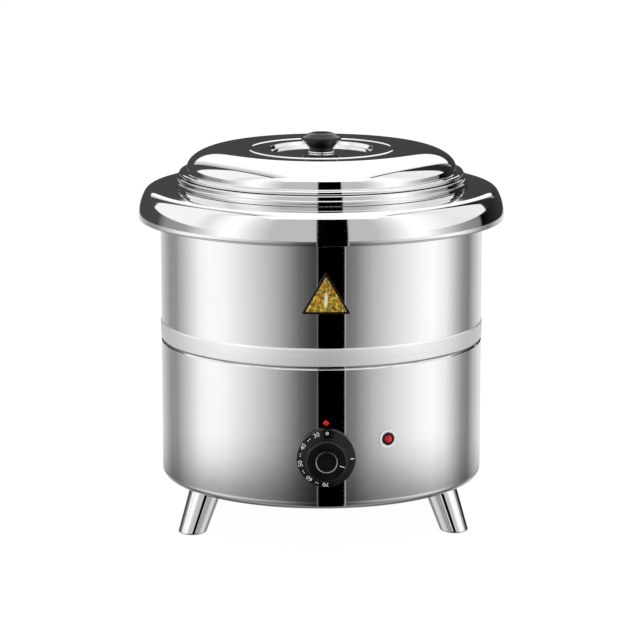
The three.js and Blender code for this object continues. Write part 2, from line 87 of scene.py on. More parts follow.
def fillet(before, corner, after, radius):
    """The arc that rounds a corner."""
    here = Vector(corner)
    to_before = (Vector(before) - here).normalized()
    to_after = (Vector(after) - here).normalized()
    half = to_before.angle(to_after) / 2
    start = here + to_before * radius / math.tan(half)
    centre = here + (to_before + to_after).normalized() * radius / math.sin(half)
    first = math.atan2(start.y - centre.y, start.x - centre.x)
    turn = math.copysign(math.pi - 2 * half, to_before.cross(to_after) * -1)
    degrees = math.degrees(first)
    return arc(centre, (radius, radius), degrees, degrees + math.degrees(turn), FILLET_STEP)


def rounded(corners, hold=0.5, closed=True):
    """An outline from corners (radius, height, fillet), with holding points beside its bends."""
    points = []
    count = len(corners)
    for i, corner in enumerate(corners):
        if len(corner) < 3 or not corner[2]:
            points.append(tuple(corner[:2]))
            continue
        before, after = corners[i - 1][:2], corners[(i + 1) % count][:2]
        points += fillet(before, corner[:2], after, corner[2])
    held = []
    for i, point in enumerate(points):
        here, ahead = Vector(point), Vector(points[(i + 1) % len(points)])
        held.append(point)
        run = (ahead - here).length
        if run > LONG_RUN * hold and (closed or i + 1 < len(points)):
            held.append(tuple(here.lerp(ahead, hold / run)))
            held.append(tuple(ahead.lerp(here, hold / run)))
    return held


def circle(radius, count):
    angles = [2 * math.pi * i / count for i in range(count)]
    return [(radius * math.cos(a), radius * math.sin(a)) for a in angles]


# ---- meshes ----
def loft(rings, closed=True):
    """Vertices and faces of a skin over rings of points; a ring of one point is a pole."""
    points, faces, starts = [], [], []
    for ring in rings:
        starts.append(len(points))
        points += ring
    pairs = list(zip(range(len(rings)), range(1, len(rings))))
    if closed:
        pairs.append((len(rings) - 1, 0))
    for a, b in pairs:
        count = max(len(rings[a]), len(rings[b]))
        for i in range(count):
            j = (i + 1) % count
            corners = []
            if len(rings[a]) > 1:
                corners += [starts[a] + i, starts[a] + j]
            else:
                corners.append(starts[a])
            if len(rings[b]) > 1:
                corners += [starts[b] + j, starts[b] + i]
            else:
                corners.append(starts[b])
            if len(corners) > 2:
                faces.append(corners)
    return points, faces


def spin(outline, segments=192, shape=None):
    """A skin turned about Z. shape(radius, height, angle) may change a point's radius."""
    rings = []
    for radius, height in outline:
        if radius < 1e-6:
            rings.append([(0, 0, height)])
            continue
        ring = []
        for i in range(segments):
            angle = 2 * math.pi * i / segments
            r = shape(radius, height, angle) if shape else radius
            ring.append((r * math.cos(angle), r * math.sin(angle), height))
        rings.append(ring)
    return loft(rings)


def merge(*skins):
    """Several skins as one list of vertices and faces."""
    points, faces = [], []
    for skin_points, skin_faces in skins:
        faces += [[index + len(points) for index in face] for face in skin_faces]
        points += skin_points
    return points, faces


def turned_skin(skin, matrix):
    points, faces = skin
    return [tuple(matrix @ Vector(p)) for p in points], faces


FACING = Matrix.Rotation(math.pi / 2, 4, "X")  # takes +Z to -Y, out of the drum's front


def facing(height, turn=0):
    """Places a shape made along +Z so that it points out of the drum's front, turned about the axis."""
    return Matrix.Rotation(math.radians(turn), 4, "Z") @ Matrix.Translation((0, 0, height)) @ FACING


def show(name, skin, body, finish, stands_for=(), place=None):
    """Makes a piece from a skin in millimetres and rides it on its body."""
    points, faces = skin
    mesh = bpy.data.meshes.new(name)
    mesh.from_pydata([Vector(p) * MM for p in points], [], faces)
    shape = bmesh.new()
    shape.from_mesh(mesh)
    bmesh.ops.remove_doubles(shape, verts=shape.verts, dist=WELD)
    bmesh.ops.recalc_face_normals(shape, faces=shape.faces)
    shape.to_mesh(mesh)
    shape.free()
    mesh.shade_smooth()
    mesh.set_sharp_from_angle(angle=math.radians(SMOOTH_ANGLE))
    piece = bpy.data.objects.new(name, mesh)
    bpy.context.scene.collection.objects.link(piece)
    if place is not None:
        piece.matrix_world = Matrix.Translation(place.to_translation() * MM) @ place.to_3x3().to_4x4()
    mesh.materials.append(FINISHES[finish])
    if stands_for:
        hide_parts(*stands_for)
    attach(piece, body)
    return piece


def soften_edges(piece, width):
    bevel = piece.modifiers.new("soft edges", "BEVEL")
    bevel.width = width * MM
    bevel.segments = 2
    bevel.limit_method = "ANGLE"


# ---- materials ----
class Surface:
    """A procedural material: a Principled shader and the nodes that feed it."""

    def __init__(self, name, **uniform):
        self.material = bpy.data.materials.new(name)
        self.material.use_nodes = True
        self.tree = self.material.node_tree
        self.shader = self.tree.nodes["Principled BSDF"]
        for key, value in uniform.items():
            self.shader.inputs[key.replace("_", " ")].default_value = value
        self.place = self.tree.nodes.new("ShaderNodeTexCoord").outputs["Object"]

    def node(self, kind, *values, **settings):
        return node(self.tree, kind, *values, **settings)

    def feed(self, **sockets):
        for key, value in sockets.items():
            self.tree.links.new(value, self.shader.inputs[key.replace("_", " ")])
        return self

    def noise(self, scale, detail=2.0, where=None):
        """Noise from 0 to 1; scale is in waves per metre."""
        return self.node("TexNoise", where or self.place, None, scale, detail)

    def between(self, value, low, high, start=0.3, end=0.7):
        """Maps a value that runs from start to end onto low to high, for numbers or colours."""
        if isinstance(low, tuple):
            return self.mixed(self.node("MapRange", value, start, end, 0.0, 1.0), low, high)
        return self.node("MapRange", value, start, end, low, high)

    def mixed(self, share, low, high):
        """A colour between two, by a share from 0 to 1."""
        mix = self.tree.nodes.new("ShaderNodeMix")
        mix.data_type = "RGBA"
        self.tree.links.new(share, mix.inputs["Factor"])
        for socket, colour in zip(mix.inputs[6:8], (low, high)):
            if isinstance(colour, bpy.types.NodeSocket):
                self.tree.links.new(colour, socket)
            else:
                socket.default_value = colour
        return mix.outputs[2]

    def bump(self, height, distance):
        """A normal from a height field whose full relief is distance millimetres."""
        made = self.tree.nodes.new("ShaderNodeBump")
        made.inputs["Strength"].default_value = 1.0
        made.inputs["Distance"].default_value = distance * MM
        self.tree.links.new(height, made.inputs["Height"])
        return made.outputs["Normal"]

    def axes(self):
        """The piece's own x, y and z."""
        split = self.tree.nodes.new("ShaderNodeSeparateXYZ")
        self.tree.links.new(self.place, split.inputs[0])
        return split.outputs

    def length(self, vector):
        made = self.tree.nodes.new("ShaderNodeVectorMath")
        made.operation = "LENGTH"
        self.tree.links.new(vector, made.inputs[0])
        return made.outputs["Value"]

    def around(self, stretch=0.004):
        """Coordinates that run round Z, for brushing and turning marks."""
        x, y, z = self.axes()
        radius = self.length(self.node("CombineXYZ", x, y, 0.0))
        angle = self.node("Math", y, x, operation="ARCTAN2")
        slow = self.node("Math", angle, stretch, operation="MULTIPLY")
        return self.node("CombineXYZ", radius, z, slow)


def node(tree, kind, *values, **settings):
    """A shader node whose inputs take the values in order; the result is its first output."""
    made = tree.nodes.new("ShaderNode" + kind)
    for key, value in settings.items():
        setattr(made, key, value)
    for socket, value in zip(made.inputs, values):
        if isinstance(value, bpy.types.NodeSocket):
            tree.links.new(value, socket)
        elif value is not None:
            socket.default_value = value
    return made.outputs[0]


def grey(value, tint=0.0):
    return (value, value, value * (1 + tint), 1.0)


def mirror_steel(band=None):
    """Mirror-polished stainless steel; a satin band runs between two heights."""
    made = Surface("mirror_steel" if band is None else "drum_steel", Metallic=1.0)
    clouds = made.noise(9.0, 3.0)
    lines = made.noise(900.0, 2.0, made.around())
    rough = made.between(lines, 0.030, 0.050)
    colour = made.between(clouds, grey(0.79, 0.01), grey(0.82, 0.01))
    if band:
        low, high = band
        edge = 0.3  # half the height over which the finish changes
        height = made.axes()[2]
        above = made.node("MapRange", height, (low - edge) * MM, (low + edge) * MM, 0.0, 1.0)
        below = made.node("MapRange", height, (high - edge) * MM, (high + edge) * MM, 1.0, 0.0)
        inside = made.node("Math", above, below, operation="MULTIPLY")
        satin = made.node("Math", inside, made.between(lines, 0.36, 0.44), operation="MULTIPLY")
        rough = made.node("Math", satin, rough, operation="MAXIMUM")
        colour = made.mixed(inside, colour, grey(0.98))
        made.feed(Metallic=made.between(inside, 1.0, 0.75, 0.0, 1.0))
    made.feed(
        Base_Color=colour,
        Roughness=rough,
        Normal=made.bump(clouds, 0.04),
    )
    return made.material


def satin_steel():
    made = Surface("satin_steel", Metallic=1.0, Anisotropic=0.35)
    lines = made.noise(1400.0, 3.0, made.around())
    clouds = made.noise(18.0, 2.0)
    made.feed(
        Base_Color=made.between(clouds, grey(0.58, 0.02), grey(0.66, 0.02)),
        Roughness=made.between(lines, 0.22, 0.38),
        Normal=made.bump(lines, 0.012),
    )
    return made.material


def smoked_steel():
    made = Surface("smoked_steel", Metallic=1.0)
    lines = made.noise(1800.0, 2.0, made.around())
    made.feed(
        Base_Color=made.between(lines, grey(0.30), grey(0.38)),
        Roughness=made.between(lines, 0.24, 0.34),
        Normal=made.bump(lines, 0.01),
    )
    return made.material


def chrome():
    made = Surface("chrome", Metallic=1.0)
    specks = made.noise(260.0, 3.0)
    made.feed(
        Base_Color=made.between(specks, grey(0.82, 0.02), grey(0.86, 0.02)),
        Roughness=made.between(specks, 0.025, 0.06),
        Normal=made.bump(made.noise(40.0, 2.0), 0.01),
    )
    return made.material


def aluminium():
    made = Surface("aluminium", Metallic=1.0)
    turning = made.noise(2200.0, 2.0, made.around(0.001))
    made.feed(
        Base_Color=made.between(made.noise(60.0), grey(0.62, 0.03), grey(0.70, 0.03)),
        Roughness=made.between(turning, 0.32, 0.5),
        Normal=made.bump(turning, 0.02),
    )
    return made.material


def brass():
    made = Surface("brass", Metallic=1.0)
    tarnish = made.noise(120.0, 4.0)
    made.feed(
        Base_Color=made.between(tarnish, (0.56, 0.39, 0.16, 1), (0.76, 0.57, 0.28, 1)),
        Roughness=made.between(tarnish, 0.42, 0.26),
        Normal=made.bump(made.noise(700.0), 0.01),
    )
    return made.material


def black_moulding():
    made = Surface("black_moulding", Specular_IOR_Level=0.3)
    flow = made.noise(70.0, 4.0)
    grain = made.noise(1500.0, 2.0)
    made.feed(
        Base_Color=made.between(flow, grey(0.004, 0.05), grey(0.009, 0.05)),
        Roughness=made.between(flow, 0.10, 0.17),
        Normal=made.bump(grain, 0.003),
    )
    return made.material


def badge_black():
    made = Surface("badge_black", Specular_IOR_Level=0.25)
    ink = made.noise(900.0, 3.0)
    made.feed(
        Base_Color=made.between(ink, grey(0.004), grey(0.010)),
        Roughness=made.between(ink, 0.16, 0.26),
        Normal=made.bump(ink, 0.004),
    )
    return made.material


def badge_gold():
    """Mottled gold foil with a pale upright flash at its middle."""
    made = Surface("badge_gold", Metallic=0.2, Coat_Weight=0.4, Coat_Roughness=0.08)
    flecks = made.noise(900.0, 4.0)
    blotches = made.noise(190.0, 3.0)
    patches = made.noise(330.0, 2.0)
    foil = made.between(blotches, (0.66, 0.22, 0.02, 1), (0.88, 0.62, 0.04, 1), 0.42, 0.58)
    olive = made.between(patches, 1.0, 0.0, 0.44, 0.56)
    foil = made.mixed(olive, foil, (0.22, 0.17, 0.012, 1))
    specks = made.between(flecks, 1.0, 0.0, 0.36, 0.44)
    foil = made.mixed(specks, foil, (0.02, 0.012, 0.004, 1))
    half_width, half_height = 1.6 * MM, 8 * MM  # of the flash
    scaled = made.node("VectorMath", made.place, (1 / half_width, 0.0, 1 / half_height), operation="MULTIPLY")
    reach = made.node("Math", made.length(scaled), made.between(flecks, -0.3, 0.3), operation="ADD")
    flash = made.between(reach, 1.0, 0.0, 0.7, 1.1)
    made.feed(
        Base_Color=made.mixed(flash, foil, (0.92, 0.90, 0.78, 1)),
        Roughness=made.between(flecks, 0.22, 0.42),
        Normal=made.bump(flecks, 0.03),
    )
    return made.material


def red_lens():
    made = Surface(
        "red_lens", Transmission_Weight=0.2, Coat_Weight=0.3, Coat_Roughness=0.05, Specular_IOR_Level=0.3,
        Emission_Color=(0.9, 0.008, 0.004, 1), Emission_Strength=0.22,
    )
    swirl = made.noise(420.0, 3.0)
    made.feed(
        Base_Color=made.between(swirl, (0.06, 0.001, 0.001, 1), (0.80, 0.012, 0.012, 1), 0.4, 0.6),
        Roughness=made.between(swirl, 0.12, 0.25),
        Normal=made.bump(swirl, 0.05),
    )
    return made.material


def red_enamel():
    made = Surface("red_enamel", Coat_Weight=0.3, Coat_Roughness=0.06, Specular_IOR_Level=0.3)
    skin = made.noise(500.0, 2.0)
    made.feed(
        Base_Color=made.between(skin, (0.70, 0.004, 0.002, 1), (0.95, 0.02, 0.01, 1)),
        Roughness=made.between(skin, 0.18, 0.3),
        Normal=made.bump(skin, 0.01),
    )
    return made.material


def white_enamel():
    made = Surface("white_enamel")
    skin = made.noise(900.0, 2.0)
    made.feed(
        Base_Color=made.between(skin, grey(0.70), grey(0.86)),
        Roughness=made.between(skin, 0.35, 0.5),
        Normal=made.bump(skin, 0.01),
    )
    return made.material


def white_nylon():
    made = Surface("white_nylon", Subsurface_Weight=0.15, Subsurface_Scale=0.001)
    skin = made.noise(500.0, 2.0)
    made.feed(
        Base_Color=made.between(skin, grey(0.84), grey(0.92)),
        Roughness=made.between(skin, 0.3, 0.42),
        Normal=made.bump(skin, 0.008),
    )
    return made.material


def black_rubber():
    made = Surface("black_rubber", Sheen_Weight=0.2, Sheen_Roughness=0.5)
    grain = made.noise(1100.0, 4.0)
    made.feed(
        Base_Color=made.between(grain, grey(0.012), grey(0.03)),
        Roughness=made.between(grain, 0.7, 0.88),
        Normal=made.bump(grain, 0.03),
    )
    return made.material


def insulation():
    made = Surface("insulation", Sheen_Weight=0.4)
    fibres = made.noise(380.0, 6.0)
    made.feed(
        Base_Color=made.between(fibres, (0.50, 0.44, 0.32, 1), (0.78, 0.74, 0.64, 1)),
        Roughness=made.between(fibres, 0.9, 1.0),
        Normal=made.bump(fibres, 0.8),
    )
    return made.material


def ceramic():
    made = Surface("ceramic")
    grain = made.noise(600.0, 3.0)
    made.feed(
        Base_Color=made.between(grain, (0.74, 0.71, 0.63, 1), (0.84, 0.81, 0.74, 1)),
        Roughness=made.between(grain, 0.45, 0.6),
        Normal=made.bump(grain, 0.02),
    )
    return made.material


def sleeve(name, low, high):
    """A wire's woven or moulded sleeve."""
    made = Surface(name, Sheen_Weight=0.15)
    weave = made.noise(1600.0, 2.0)
    made.feed(
        Base_Color=made.between(weave, low, high),
        Roughness=made.between(weave, 0.5, 0.7),
        Normal=made.bump(weave, 0.05),
    )
    return made.material


# The band round the drum: a groove along its lower edge and a ramp along its upper one.
BAND = {
    "low": 181.2,
    "high": 202.4,
    "edge": 0.2,  # from the band's foot to the groove's lower edge
    "deepest": 1.344,  # from the band's foot to the bottom of the groove
    "deep": 1.3,
    "satin": 3.6,  # from the band's foot to where its satin finish starts
    "groove": 4.2,  # from the band's foot to the groove's upper edge
    "lip": 0.35,  # how far that edge stands proud of the drum
    "swell": 8,  # from that edge to the full width
    "proud": 0.7,
    "ramp": 1.6,
}
FINISHES = {
    "mirror_steel": mirror_steel(),
    "satin_steel": satin_steel(),
    "chrome": chrome(),
    "aluminium": aluminium(),
    "brass": brass(),
    "black_moulding": black_moulding(),
    "badge_black": badge_black(),
    "badge_gold": badge_gold(),
    "red_lens": red_lens(),
    "red_enamel": red_enamel(),
    "black_rubber": black_rubber(),
    "insulation": insulation(),
    "ceramic": ceramic(),
    "white_nylon": white_nylon(),
    "wire_red": sleeve("wire_red", (0.40, 0.02, 0.015, 1), (0.62, 0.05, 0.04, 1)),
    "wire_white": sleeve("wire_white", grey(0.62), grey(0.82)),
    "wire_black": sleeve("wire_black", grey(0.015), grey(0.045)),
}
# Three pieces have a finish of their own within their slot's.
DRUM_STEEL = mirror_steel(band=(BAND["low"] + BAND["satin"], BAND["high"]))
NUMBER_WHITE = white_enamel()
SMOKED_STEEL = smoked_steel()


# ---- drum, well and pot ----
def drum():
    widest, bottom, top = span("outer_shell")
    wall = 1.5
    flange = 100  # inner edge of the turned-in bottom
    foot_roll = 8
    outer = widest - BAND["proud"]
    inner = outer - wall

    def side(r):
        """The wall round its band, from the bottom up."""
        low, high = BAND["low"], BAND["high"]
        groove_top = low + BAND["groove"]
        full = r + BAND["proud"]
        return [
            (r, low + BAND["edge"], 0.4),
            (r - BAND["deep"], low + BAND["deepest"], 0.4),
            (r + BAND["lip"], groove_top, 0.8),
            (full, groove_top + BAND["swell"], 8),
            (full, high - BAND["ramp"], 0.8),
            (r, high, 0.8),
        ]

    outline = rounded([
        (flange, bottom, 0.4), (outer, bottom, foot_roll), *side(outer), (outer, top, 0.4), (inner, top, 0.4),
        *side(inner)[::-1], (inner, bottom + wall, foot_roll - wall), (flange, bottom + wall, 0.4),
    ])
    piece = show("drum_shell", spin(outline, 256), "base", "mirror_steel", ["outer_shell"])
    piece.data.materials[0] = DRUM_STEEL


def vessel(name, node_name, body, r, corner):
    """A pressed pot with a flat flange: the well or the soup pot."""
    flange, bottom, top = span(node_name)
    under = top - SHEET
    outline = rounded([
        (0, bottom), (r, bottom, corner), (r, under, 1.0), (flange, under, 0.4), (flange, top, 0.4),
        (r - SHEET, top, 2.2), (r - SHEET, bottom + SHEET, corner - SHEET), (0, bottom + SHEET),
    ])
    show(name, spin(outline), body, "satin_steel", [node_name])


# ---- collar and neck ----
NECK_BORE = 138


def collar():
    widest, bottom, top = span("collar")
    skirt_r, skirt_arc = 52, (5, 28)  # the skirt leans in over these angles
    skirt_low = (widest + 0.2, 309)  # where the skirt's arc starts
    roll_r, roll_end = 10, 85  # the tighter roll above it
    hem_foot = 329.3  # the hem that hangs into the neck
    seat = 147  # where the top levels out under the neck
    skirt_foot, crease = (math.radians(angle) for angle in skirt_arc)
    centre = (skirt_low[0] - skirt_r * math.cos(skirt_foot), skirt_low[1] - skirt_r * math.sin(skirt_foot))
    edge = (centre[0] + skirt_r * math.cos(crease), centre[1] + skirt_r * math.sin(crease))
    roll = (edge[0] - roll_r * math.cos(crease), edge[1] - roll_r * math.sin(crease))

    def face(inset):
        """The skirt from its lower edge up, the roll, and the top's gentle fall."""
        points = arc(centre, (skirt_r - inset,) * 2, *skirt_arc, 1.5)
        points += arc(roll, (roll_r - inset,) * 2, skirt_arc[1], roll_end, 4)[1:]
        return [*points, (seat, top - inset, 12)]

    lip_r = widest - 4
    lip = [
        (widest - SHEET - 0.4, bottom + SHEET, 0.3), (lip_r, bottom + SHEET, 0.3), (lip_r, bottom, 0.3),
        (widest, bottom, 0.9),
    ]
    hem_r = NECK_BORE + SHEET
    outline = rounded([
        (NECK_BORE, hem_foot, 0.4), (hem_r, hem_foot, 0.4), (hem_r, top - SHEET, 1.5),
        *face(SHEET)[::-1], *lip, *face(0), (NECK_BORE, top, 2.2),
    ])
    show("collar_ring", spin(outline, 256), "lid_ring", "mirror_steel", ["collar"])


def neck():
    low_r, bottom, top = span("neck_ring")
    step, high_r = bottom + 4.9, low_r - 1.8
    outline = rounded([
        (NECK_BORE, bottom, 0.3), (low_r, bottom, 0.3), (low_r, step, 0.9), (high_r, step, 0.4),
        (high_r, top, 1.2), (NECK_BORE, top, 0.6),
    ])
    show("neck", spin(outline, 256), "lid_ring", "mirror_steel", ["neck_ring"])


# ---- lid ----
SHOULDER = (40, 20)  # the dome's shoulder is a quarter ellipse
BEAD = {"r": 71, "z": 371.4, "half": 0.9, "rise": 0.6}  # fine ring round the lid's middle
DISH = {"r": 50.5, "z": 367.5}  # shallow recess under the knob


def lid():
    rim, bottom, top = span("lid_dome")
    wall = 133.4
    rim_low, rim_high = 346, 350
    centre = (wall - SHOULDER[0], top - SHOULDER[1])
    inside = (SHOULDER[0] - SHEET, SHOULDER[1] - SHEET)
    bore = 3.4  # for the knob's screw
    bead, half, plain = BEAD["r"], BEAD["half"], BEAD["z"]
    dish, step, floor_z = DISH["r"], DISH["r"] + 1.5, DISH["z"]
    under = 0.8  # how far the dish's corners move out on the underside
    outline = rounded([
        (wall - SHEET, bottom, 0.3), (wall, bottom, 0.3), (wall, rim_low, 0.4),
        (rim, rim_low, 1.9), (rim, rim_high, 1.9), (wall, rim_high, 1.0),
        *arc(centre, SHOULDER, 3, 90, 2),
        (bead + 2 * half, plain, 0.5), (bead + half, plain + BEAD["rise"], 0.6),
        (bead - half, plain + BEAD["rise"], 0.6), (bead - 2 * half, plain, 0.5),
        (step, plain, 0.5), (dish, floor_z, 1.2), (bore, floor_z, 0.3),
        (bore, floor_z - SHEET, 0.3), (dish + under, floor_z - SHEET, 0.5),
        (step + under, plain - SHEET, 1.2), (bead, plain - SHEET), (centre[0], top - SHEET),
        *arc(centre, inside, 88, 3, 2),
    ])
    show("lid_shell", spin(outline, 256), "lid", "mirror_steel", ["lid_dome"])


def knob():
    r, foot, top = span("lid_knob")
    stem = 11.6
    cone_top = top - 8
    hole, hole_end = 2.2, foot + 11  # for the screw
    outline = rounded([
        (hole, foot), (stem + 0.8, foot, 0.4), (stem, foot + 1.6, 1.2), (r - 1.6, cone_top, 1.2),
        (r, cone_top + 1.6, 1.0), (r, top - 4.6, 1.6), (r - 8, top - 0.5, 6), (r - 10, top, 2), (0, top),
        (0, hole_end), (hole, hole_end),
    ], hold=0.3)
    show("knob", spin(outline, 96), "lid", "black_moulding", ["lid_knob"])
    outer, low, high = span("knob_ferrule")
    bore = 3.4
    ferrule = rounded([(bore, low, 0.2), (outer, low, 0.3), (outer, high, 0.6), (bore, high, 0.2)], hold=0.3)
    show("ferrule", spin(ferrule, 96), "lid", "chrome", ["knob_ferrule"])


# ---- legs ----
LEGS = 3


def leg(i):
    turn = 90 + 360 / LEGS * i
    top_z, foot_z = 43.7, 1.0
    top_r, foot_r = 16.5, 14.0
    at, splay = 133, 16.5  # distance from the axis at the top, and how much further out it stands
    pad_r, pocket_z = 11.3, 5.0
    bore_r, bore_z = 3.3, top_z - 18

    def ring(r, z, shift):
        return [(x + shift, y, z) for x, y in circle(r, 64)]

    def leaning(r, z):
        return ring(r, z, splay * (top_z - z) / (top_z - foot_z))

    side = rounded([
        (pad_r + 0.4, foot_z), (foot_r, foot_z, 1.6), (top_r, top_z, 0.8), (bore_r + 1, top_z),
    ], closed=False)
    rings = [[(splay, 0, pocket_z)], ring(pad_r, pocket_z, splay), ring(pad_r, foot_z + 0.4, splay)]
    rings += [leaning(r, z) for r, z in side]
    rings += [ring(bore_r, top_z - 0.4, 0), ring(bore_r, bore_z, 0), [(0, 0, bore_z)]]
    place = Matrix.Rotation(math.radians(turn), 4, "Z") @ Matrix.Translation((at, 0, 0))
    show(f"leg_shell_{i + 1}", loft(rings, closed=False), "base", "chrome", [f"leg_{i + 1}"], place)
    pad = rounded([
        (0, 0.8), (6, 0.8, 0.4), (6.6, 0, 0.3), (11, 0, 0.9), (11, 4.7, 0.4), (0, 4.7),
    ], hold=0.3)
    at_foot = place @ Matrix.Translation((splay, 0, 0))
    show(f"foot_rubber_{i + 1}", spin(pad, 64), "base", "black_rubber", [f"foot_pad_{i + 1}"], at_foot)


# ---- controls ----
# Heights of the dial and the lamp are distances from the drum's axis.
PLATE_R = 159.8  # back of the pieces that lie on the drum
FLUTES = 10
GRIP_R = 20
WAIST = 167.5  # foot of the grip
SKIRT_IN = 0.5  # the skirt's slope starts this far inside its edge
SKIRT_LOW = 164.6
SKIRT_HIGH = (GRIP_R + 1.6, 167.1)


def dial():
    r, back, front, height = front_span("dial")
    hole, hub = 3.3, 6
    hub_back = back + 0.4
    hollow = 165  # the hollow behind the skirt ends here
    recess = front - 1.6  # floor under the centre cap

    def fluted(radius, z, angle):
        if z < WAIST or radius < GRIP_R - 2.4:
            return radius
        return radius - 0.15 * (1 - math.cos(FLUTES * angle))

    outline = rounded([
        (hole, hub_back), (hub, hub_back), (hub, hollow), (20, hollow), (26, hollow - 1.6),
        (r - 1.2, back, 0.2), (r, back, 0.3), (r - SKIRT_IN, SKIRT_LOW, 0.5), (*SKIRT_HIGH, 0.4),
        (GRIP_R, WAIST + 0.2, 0.5), (GRIP_R, front, 2.2), (11.9, front, 0.3), (11.6, front - 1.2),
        (11.5, recess), (0, recess), (0, front - 5), (hole, front - 5),
    ], hold=0.3)
    place = facing(height)
    show("dial_body", spin(outline, 192, fluted), "dial", "black_moulding", ["dial"], place)
    dial_centre(place)
    dial_marks(place)


def dial_centre(place):
    """The dished cap, and the thin ring that lines its edge."""
    r, back, front, _ = front_span("dial_cap")
    dish = front - 0.9
    cap = rounded([
        (0, back), (r, back, 0.2), (r, front, 0.3), (r - 0.4, front, 0.1), (r - 1.3, dish, 0.2), (0, dish),
    ], hold=0.3)
    show("dial_centre", spin(cap, 96), "dial", "black_moulding", ["dial_cap"], place)
    lining = rounded([
        (r - 1.5, front - 1), (r - 0.7, front - 0.4), (r - 0.75, front - 0.27, 0.1), (r - 1.6, front - 0.8),
    ], hold=0.2)
    ring = show("dial_ring", spin(lining, 96), "dial", "satin_steel", (), place)
    ring.data.materials[0] = SMOKED_STEEL


def flat_text(text, size, depth):
    """A word as a mesh lying in XY, centred, its face towards +Z."""
    curve = bpy.data.curves.new("word", "FONT")
    curve.body = text
    curve.size = size * MM
    curve.extrude = depth / 2 * MM
    curve.align_x = "CENTER"
    curve.align_y = "CENTER"
    curve.resolution_u = 3
    holder = bpy.data.objects.new("word", curve)
    bpy.context.scene.collection.objects.link(holder)
    bpy.context.view_layer.update()
    mesh = bpy.data.meshes.new_from_object(holder.evaluated_get(bpy.context.evaluated_depsgraph_get()))
    skin = [tuple(v.co / MM) for v in mesh.vertices], [list(p.vertices) for p in mesh.polygons]
    bpy.data.objects.remove(holder)
    bpy.data.curves.remove(curve)
    bpy.data.meshes.remove(mesh)
    return skin


def dial_marks(place):
    """The raised scale: a round mark at the stop, the tens from 30 to 70, dots between, an end tick."""
    r, _, front, _ = front_span("dial")
    slope = math.atan2(SKIRT_HIGH[1] - SKIRT_LOW, r - SKIRT_IN - SKIRT_HIGH[0])
    lean = Matrix.Rotation(-slope, 4, "X")
    middle = (0, 24.9, 165.91)  # halfway up the skirt
    thick = 0.2

    def on_skirt(angle):
        turn = Matrix.Rotation(math.radians(angle - 90), 4, "Z")
        return turn @ Matrix.Translation(middle) @ lean

    tick = plate([(-0.55, -1.9), (0.55, -1.9), (0.55, 1.9), (-0.55, 1.9)], 0, thick)
    skins = [turned_skin(tick, on_skirt(0))]
    dot = spin(rounded([(0, 0), (0.55, 0), (0.55, thick), (0, thick)]), 16)
    values = range(30, 80, 10)
    for step, value in enumerate(values):
        angle = 112 + 39.2 * step
        skins.append(turned_skin(flat_text(str(value), 6.2, 0.24), on_skirt(angle)))
        if step + 1 < len(values):
            skins += [turned_skin(dot, on_skirt(angle + turn)) for turn in (17, 22)]
    ring = spin(rounded([(0.8, 0), (1.5, 0), (1.5, thick), (0.8, thick)]), 24)
    skins.append(turned_skin(ring, on_skirt(88)))
    grip_tick = plate([(-0.35, -2.4), (0.35, -2.4), (0.35, 2.4), (-0.35, 2.4)], 0, 0.15)
    on_grip = Matrix.Rotation(math.radians(-107), 4, "Z") @ Matrix.Translation((0, 15.4, front))
    skins.append(turned_skin(grip_tick, on_grip))
    marks = show("dial_marks", merge(*skins), "dial", "black_moulding", (), place)
    marks.data.materials[0] = NUMBER_WHITE


def plate(corners, low, high):
    """A flat plate with a straight-sided outline in XY."""
    bottom = [(x, y, low) for x, y in corners]
    count = len(corners)
    points = bottom + [(x, y, high) for x, y in corners]
    faces = [list(range(count))[::-1], list(range(count, 2 * count))]
    faces += [[i, (i + 1) % count, (i + 1) % count + count, i + count] for i in range(count)]
    return points, faces


def lamp():
    low, high = box_mm("lamp_lens")
    centre = (low + high) / 2
    turn = math.degrees(math.atan2(centre.x, -centre.y))
    place = facing(centre.z, turn)
    inner, outer, face = 6.3, 8.8, 160.7
    washer = rounded([
        (inner, PLATE_R, 0.1), (outer, PLATE_R, 0.1), (outer, face, 0.4), (inner, face, 0.2),
    ], hold=0.2)
    show("lamp_ring", spin(washer, 64), "base", "white_nylon", ["lamp_washer"], place)
    bore, barrel, barrel_end = 3, 4.7, 149.7
    mouth, mouth_end = 4.1, 159.5
    flange, flange_back, front = 6, 161, 162.4
    bezel = rounded([
        (bore, barrel_end), (barrel, barrel_end), (barrel, flange_back), (flange, flange_back, 0.1),
        (flange, front - 0.5, 0.4), (flange - 0.7, front, 0.3), (mouth, front, 0.3), (mouth, mouth_end),
        (bore, mouth_end),
    ], hold=0.2)
    show("lamp_surround", spin(bezel, 64), "base", "black_moulding", ["lamp_bezel"], place)
    lens_r, dome_foot, dome = 3.8, 161.6, 1.4

    def ribbed(radius, z, angle):
        return radius * (1 + 0.02 * math.cos(12 * angle)) if z > dome_foot + 0.1 else radius

    lens = [
        (0, PLATE_R), (lens_r, PLATE_R),
        *arc((0, dome_foot), (lens_r, dome), 0, 88, 11), (0, dome_foot + dome),
    ]
    show("lamp_dome", spin(lens, 96, ribbed), "base", "red_lens", ["lamp_lens"], place)


# ---- badge and index mark ----
def rounded_shape(count, reach, corner, spacing=2.0):
    """Points (x, z) of an upright regular shape with rounded corners, spread along its sides."""
    centre_r = reach - corner / math.cos(math.pi / count)
    points = []
    for i in range(count):
        angle = 90 + 360 / count * i
        a = math.radians(angle)
        centre = (centre_r * math.cos(a), centre_r * math.sin(a))
        points += arc(centre, (corner, corner), angle - 180 / count, angle + 180 / count, 15)
    dense = []
    for i, point in enumerate(points):
        here, ahead = Vector(point), Vector(points[(i + 1) % len(points)])
        pieces = max(1, round((ahead - here).length / spacing))
        dense += [tuple(here.lerp(ahead, k / pieces)) for k in range(pieces)]
    return dense


